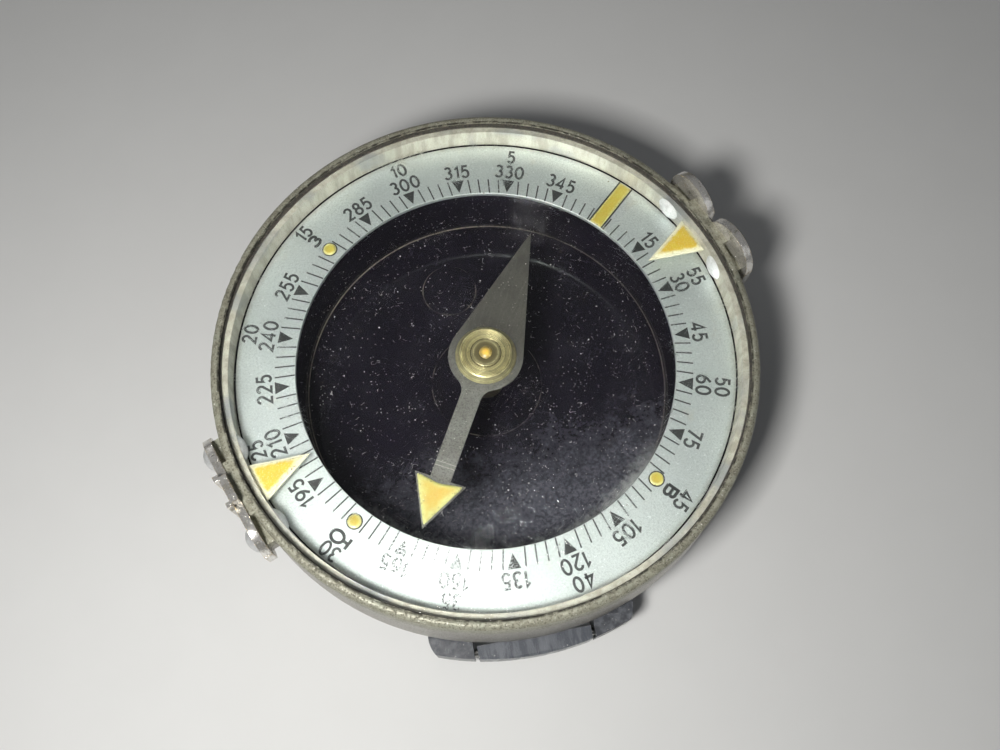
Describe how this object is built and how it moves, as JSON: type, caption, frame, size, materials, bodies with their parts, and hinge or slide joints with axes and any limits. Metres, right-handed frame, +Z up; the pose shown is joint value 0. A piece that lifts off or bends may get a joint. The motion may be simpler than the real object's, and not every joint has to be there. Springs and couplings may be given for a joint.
{
  "type": "marching compass",
  "caption": "Round pocket and wrist compass with a turning sighting ring, fixed degree dial, magnetic needle, needle brake and two strap bars.",
  "frame": {"origin": "middle of the flat underside, on the axis of the dial and the turning ring", "axes": "+Z is up along the ring's axis, towards the crystal; the front strap bar is at -Y and the rear strap bar at +Y"},
  "size_m": [0.053, 0.0534, 0.0156],
  "materials": {
    "case_bakelite": "dusty, scratched gloss",
    "cover_black": "black enamel, rubbed at the edge",
    "steel_small": "satin steel",
    "dial_white": "fine-grained silver white",
    "luminous_yellow": "aged luminous paint",
    "brass_turned": "turned, slightly dull",
    "ring_nickel": "worn nickel plate over brass",
    "sight_nickel": "bright nickel plate, brass at the edges",
    "crystal_clear": "clear, lightly scratched",
    "seal_dark": "dark, matt",
    "liner_beige": "beige-grey, tarnished",
    "rivet_aluminium": "satin white",
    "pointer_cream": "cream, slightly glossy edge",
    "needle_steel": "blued grey, dull",
    "jewel_amber": "polished amber cup"
  },
  "bodies": {
    "case": {"case": "case_bakelite", "bottom_cover": "cover_black", "cover_screws": "steel_small", "front_strap_bar": "case_bakelite", "rear_strap_bar": "case_bakelite", "strap_pins": "steel_small", "dial": "dial_white", "zero_bar": "luminous_yellow", "cardinal_dots": "luminous_yellow", "pivot_post": "brass_turned", "pivot_pin": "steel_small", "retaining_wire": "steel_small", "brake_pivot": "steel_small"},
    "ring": {"bezel_ring": "ring_nickel", "crystal": "crystal_clear", "crystal_seal": "seal_dark", "liner_ring": "liner_beige", "front_sight": "sight_nickel", "rear_sight": "sight_nickel", "sight_rivets": "rivet_aluminium", "front_pointer": "pointer_cream", "rear_pointer": "pointer_cream", "front_pointer_paint": "luminous_yellow", "rear_pointer_paint": "luminous_yellow"},
    "lift": {"lift_collar": "brass_turned"},
    "needle": {"needle_blade": "needle_steel", "needle_cap": "brass_turned", "needle_jewel": "jewel_amber", "needle_paint": "luminous_yellow"},
    "brake": {"brake_lever": "steel_small", "brake_knob": "ring_nickel"}
  },
  "joints": [
    {"name": "ring_turn", "type": "hinge", "parent": "case", "child": "ring", "pos_m": [0, 0, 0.01], "axis": [0, 0, 1], "continuous": true},
    {"name": "brake_swing", "type": "hinge", "parent": "case", "child": "brake", "pos_m": [-0.01065, 0.00746, 0.0012], "axis": [0, 0, 1], "range_deg": [0, 14]},
    {"name": "collar_lift", "type": "slide", "parent": "case", "child": "lift", "axis": [0, 0, 1], "range_m": [0, 0.0003]},
    {"name": "needle_swing", "type": "hinge", "parent": "lift", "child": "needle", "pos_m": [0, 0, 0.012], "axis": [0, 0, 1], "continuous": true}
  ],
  "couplings": [
    {"joint": "collar_lift", "follows": "brake_swing", "m_per_rad": 0.001227}
  ]
}
